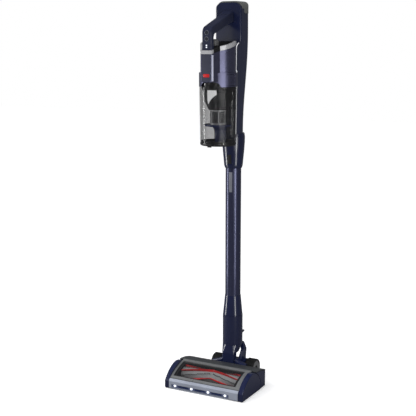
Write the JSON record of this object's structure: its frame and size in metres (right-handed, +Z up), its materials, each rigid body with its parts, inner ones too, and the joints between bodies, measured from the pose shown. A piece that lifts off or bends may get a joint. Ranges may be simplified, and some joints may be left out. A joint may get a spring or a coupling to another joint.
{
  "type": "cordless stick vacuum",
  "caption": "Upright cordless stick vacuum: wide powered floor head with brush window, tilting neck, slim wand, clear dirt cup, motor housing and open loop handle.",
  "frame": {"origin": "on the floor, in the middle of the outer box", "axes": "+Z up along the wand, -Y towards the front of the floor head, +X to the left-right width"},
  "size_m": [0.256, 0.24, 1.12],
  "materials": {
    "navy_gloss": "glossy dark navy",
    "navy_metallic": "metallic violet-navy paint",
    "navy_matte": "soft-touch dark navy",
    "wand_navy": "anodised dark navy",
    "deck_gray": "fine-grained dark gray",
    "frame_silver": "satin silver gray",
    "ice_clear": "milky ice-blue translucent",
    "led_white": "white light windows on dark blue strip",
    "window_clear": "smoke-tinted clear",
    "cup_clear": "smoke-tinted clear",
    "black_plastic": "black grained",
    "brush_gray": "dark gray roller",
    "fin_red": "red soft fins",
    "tyre": "ribbed black tread, gray hub",
    "steel": "brushed",
    "belt": "toothed rubber",
    "battery_gray": "fine-grained warm gray",
    "cell_green": "shrink sleeve",
    "filter_white": "pleated paper",
    "filter_gray": "gray satin",
    "disc_blue": "dark blue",
    "mesh_steel": "perforated sheet",
    "silver_band": "bright satin silver",
    "panel": "dark gloss inlay",
    "button_gray": "dark button with light ring",
    "board_green": "circuit board",
    "deflector_gray": "light gray",
    "grip_black": "soft grip"
  },
  "bodies": {
    "head": {"head_base": "navy_gloss", "end_cap_left": "navy_gloss", "end_cap_right": "navy_gloss", "rear_deck": "deck_gray", "window_frame": "frame_silver", "brush_window": "window_clear", "light_bar": "ice_clear", "led_strip": "led_white", "sole_plate": "black_plastic", "brush_bearings": "steel", "drive_belt": "belt", "brush_motor": "steel", "tilt_barrel": "black_plastic", "axle_rod": "steel", "head_screws": "steel"},
    "brush": {"brush_core": "brush_gray", "brush_fins": "fin_red", "brush_pulley": "black_plastic"},
    "motor_rotor": {"motor_pinion": "steel"},
    "left_wheel": {"wheel_left": "tyre"},
    "right_wheel": {"wheel_right": "tyre"},
    "yoke": {"yoke_frame": "navy_gloss", "swivel_journal": "black_plastic"},
    "neck": {"neck_socket": "navy_gloss", "pedal_pin": "steel", "pedal_spring": "steel"},
    "pedal": {"release_pedal": "navy_matte"},
    "wand": {"wand_tube": "wand_navy", "wand_collar": "navy_gloss"},
    "hand_unit": {"tower_front": "navy_gloss", "tower_rear": "navy_gloss", "tower_collar": "navy_gloss", "inlet_duct": "black_plastic", "motor_housing": "navy_metallic", "front_panel": "panel", "top_band": "silver_band", "top_deck": "black_plastic", "handle_shell": "navy_matte", "grip_pad": "grip_black", "suction_motor": "black_plastic", "control_board": "board_green", "charge_socket": "black_plastic"},
    "fan": {"fan_rotor": "black_plastic"},
    "filter": {"filter_cap": "filter_gray", "filter_pleats": "filter_white"},
    "battery": {"battery_case": "battery_gray", "battery_cells": "cell_green"},
    "battery_button": {"battery_latch": "battery_gray"},
    "cup": {"cup_wall": "cup_clear", "cyclone_body": "black_plastic", "shroud": "black_plastic", "mesh_basket": "mesh_steel", "basket_disc": "disc_blue", "inlet_deflector": "deflector_gray"},
    "cup_door": {"dust_door": "black_plastic"},
    "door_catch": {"door_latch": "black_plastic"},
    "power_key": {"power_button": "button_gray"},
    "mode_key": {"mode_button": "button_gray"},
    "cup_key": {"cup_release_button": "navy_metallic"},
    "wand_key": {"wand_release_button": "black_plastic"}
  },
  "joints": [
    {"name": "brush_spin", "type": "hinge", "parent": "head", "child": "brush", "pos_m": [0, -0.052, 0.0286], "axis": [1, 0, 0], "continuous": true},
    {"name": "motor_spin", "type": "hinge", "parent": "head", "child": "motor_rotor", "pos_m": [0, -0.0032, 0.03], "axis": [1, 0, 0], "continuous": true},
    {"name": "left_wheel_spin", "type": "hinge", "parent": "head", "child": "left_wheel", "pos_m": [0, 0.092, 0.028], "axis": [1, 0, 0], "continuous": true},
    {"name": "right_wheel_spin", "type": "hinge", "parent": "head", "child": "right_wheel", "pos_m": [0, 0.092, 0.028], "axis": [1, 0, 0], "continuous": true},
    {"name": "neck_tilt", "type": "hinge", "parent": "head", "child": "yoke", "pos_m": [0, 0.092, 0.028], "axis": [-1, 0, 0], "range_deg": [0, 78]},
    {"name": "neck_swivel", "type": "hinge", "parent": "yoke", "child": "neck", "pos_m": [0, 0.072, 0.104], "axis": [0, 0, 1], "range_deg": [-60, 60]},
    {"name": "release_pedal_press", "type": "hinge", "parent": "neck", "child": "pedal", "pos_m": [0, 0.101, 0.147], "axis": [-1, 0, 0], "range_deg": [0, 10], "stiffness_Nm_per_rad": 0.6, "springref_deg": -6.88},
    {"name": "wand_lift", "type": "slide", "parent": "neck", "child": "wand", "axis": [0, 0, 1], "range_m": [0, 0.078]},
    {"name": "hand_unit_lift", "type": "slide", "parent": "wand", "child": "hand_unit", "axis": [0, 0, 1], "range_m": [0, 0.1]},
    {"name": "fan_spin", "type": "hinge", "parent": "hand_unit", "child": "fan", "pos_m": [0, -0.0256, 0.904], "axis": [0, 0, 1], "continuous": true},
    {"name": "filter_lift", "type": "slide", "parent": "hand_unit", "child": "filter", "axis": [0, 0, 1], "range_m": [0, 0.013]},
    {"name": "battery_lift", "type": "slide", "parent": "hand_unit", "child": "battery", "axis": [0, 0, 1], "range_m": [0, 0.1]},
    {"name": "battery_button_press", "type": "slide", "parent": "hand_unit", "child": "battery_button", "axis": [0, -1, 0], "range_m": [0, 0.0015], "stiffness_N_per_m": 400, "springref_m": -0.003},
    {"name": "cup_drop", "type": "slide", "parent": "hand_unit", "child": "cup", "axis": [0, 0, -1], "range_m": [0, 0.045]},
    {"name": "door_open", "type": "hinge", "parent": "cup", "child": "cup_door", "pos_m": [0, 0.0282, 0.7216], "axis": [1, 0, 0], "range_deg": [0, 80]},
    {"name": "door_catch_pull", "type": "slide", "parent": "cup_door", "child": "door_catch", "axis": [0, -1, 0], "range_m": [0, 0.002], "stiffness_N_per_m": 300, "springref_m": -0.002},
    {"name": "power_button_press", "type": "slide", "parent": "hand_unit", "child": "power_key", "axis": [0, 1, 0], "range_m": [0, 0.0015], "stiffness_N_per_m": 400, "springref_m": -0.002},
    {"name": "mode_button_press", "type": "slide", "parent": "hand_unit", "child": "mode_key", "axis": [0, 1, 0], "range_m": [0, 0.0015], "stiffness_N_per_m": 400, "springref_m": -0.002},
    {"name": "cup_button_press", "type": "slide", "parent": "hand_unit", "child": "cup_key", "axis": [-0.92, 0.392, 0], "range_m": [0, 0.0012], "stiffness_N_per_m": 500, "springref_m": -0.002},
    {"name": "wand_button_press", "type": "slide", "parent": "hand_unit", "child": "wand_key", "axis": [0, 1, 0], "range_m": [0, 0.002], "stiffness_N_per_m": 500, "springref_m": -0.002}
  ],
  "couplings": [
    {"joint": "motor_spin", "follows": "brush_spin", "ratio": 2.5}
  ]
}
